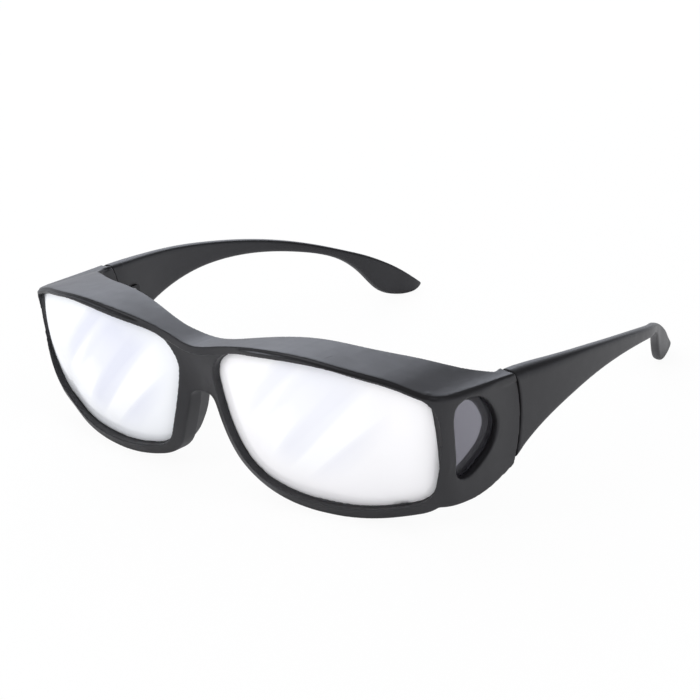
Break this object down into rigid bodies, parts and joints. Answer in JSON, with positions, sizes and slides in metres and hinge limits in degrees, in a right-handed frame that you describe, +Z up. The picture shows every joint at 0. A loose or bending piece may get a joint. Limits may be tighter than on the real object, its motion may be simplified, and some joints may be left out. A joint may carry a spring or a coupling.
{
  "type": "fitover sunglasses",
  "caption": "Wrap-round sunglasses worn over ordinary glasses: one moulded front with brow shelf, tinted side windows and folding temples on metal hinges.",
  "frame": {"origin": "centre of the footprint, on the surface that the rims and the ear ends rest on", "axes": "+Z up, +Y back from the lenses to the ears, +X to the wearer's left"},
  "size_m": [0.1474, 0.1724, 0.0461],
  "materials": {
    "matte_charcoal": "fine matte",
    "silver_lens": "pale silver flash coating",
    "smoke_lens": "clear smoke tint",
    "hinge_metal": "black plated",
    "screw_steel": "bright"
  },
  "bodies": {
    "front": {"front_frame": "matte_charcoal", "lens_left": "silver_lens", "side_lens_left": "smoke_lens", "hinge_leaf_front_left": "hinge_metal", "hinge_screw_left": "screw_steel", "leaf_screws_front_left": "screw_steel", "lens_right": "silver_lens", "side_lens_right": "smoke_lens", "hinge_leaf_front_right": "hinge_metal", "hinge_screw_right": "screw_steel", "leaf_screws_front_right": "screw_steel"},
    "temple_left": {"temple_left": "matte_charcoal", "hinge_leaf_temple_left": "hinge_metal", "leaf_screws_temple_left": "screw_steel"},
    "temple_right": {"temple_right": "matte_charcoal", "hinge_leaf_temple_right": "hinge_metal", "leaf_screws_temple_right": "screw_steel"}
  },
  "joints": [
    {"name": "temple_left_fold", "type": "hinge", "parent": "front", "child": "temple_left", "pos_m": [0.0664, -0.03835, 0.02503], "axis": [0, 0, 1], "range_deg": [0, 84]},
    {"name": "temple_right_fold", "type": "hinge", "parent": "front", "child": "temple_right", "pos_m": [-0.0664, -0.03835, 0.02503], "axis": [0, 0, -1], "range_deg": [0, 92]}
  ]
}
